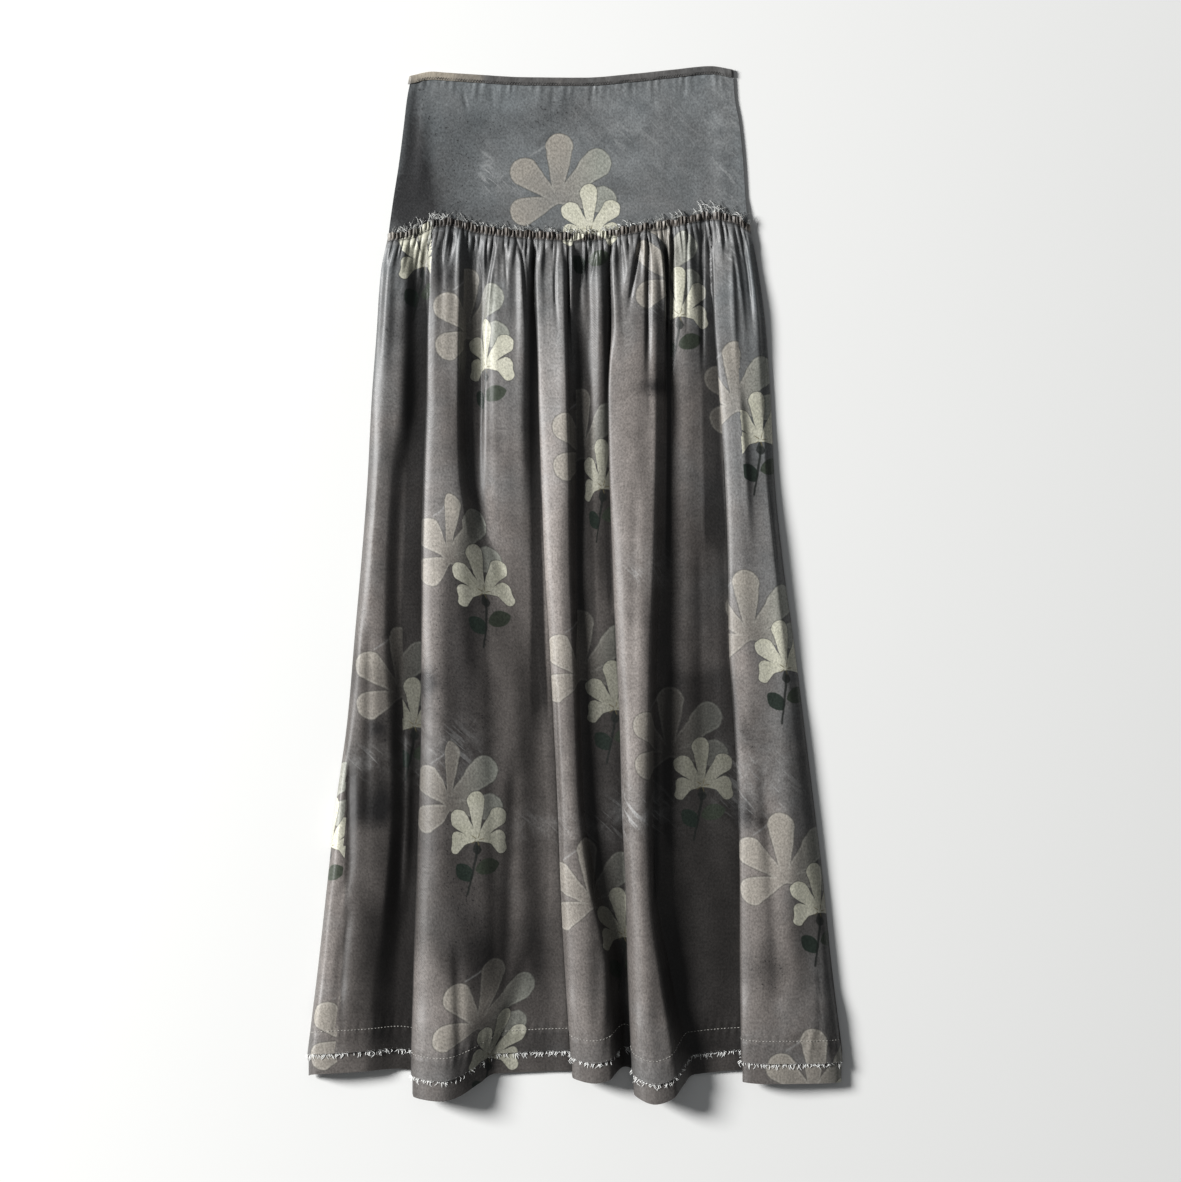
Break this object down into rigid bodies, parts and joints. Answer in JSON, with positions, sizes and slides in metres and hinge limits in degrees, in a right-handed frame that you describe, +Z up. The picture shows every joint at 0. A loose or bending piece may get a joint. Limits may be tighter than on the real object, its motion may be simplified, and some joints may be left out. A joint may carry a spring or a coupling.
{
  "type": "gathered yoke maxi skirt",
  "caption": "Long skirt laid flat: fitted hip yoke with a bound waist, gathered lower part with soft folds, raw frilled seam and a banded raw hem.",
  "frame": {"origin": "middle of the laid-out skirt, on the surface it lies on", "axes": "+Y from the hem to the waist, +X to the right as seen from above, +Z up out of the front"},
  "size_m": [0.535, 1.0345, 0.0315],
  "materials": {
    "yoke_cloth": "satin weave viscose, dyed unevenly in slate grey, with a flower print",
    "skirt_cloth": "satin weave viscose, dyed unevenly in mauve and slate grey, with a flower print",
    "binding_cloth": "the same cloth cut as a narrow binding, dark grey-brown",
    "band_cloth": "the same cloth cut as a hem band, brown grey"
  },
  "bodies": {
    "root": {"yoke_front": "yoke_cloth", "yoke_back": "yoke_cloth", "waist_binding": "binding_cloth", "skirt_front": "skirt_cloth", "skirt_back": "skirt_cloth", "hem_band_front": "band_cloth", "hem_band_back": "band_cloth"}
  },
  "joints": []
}
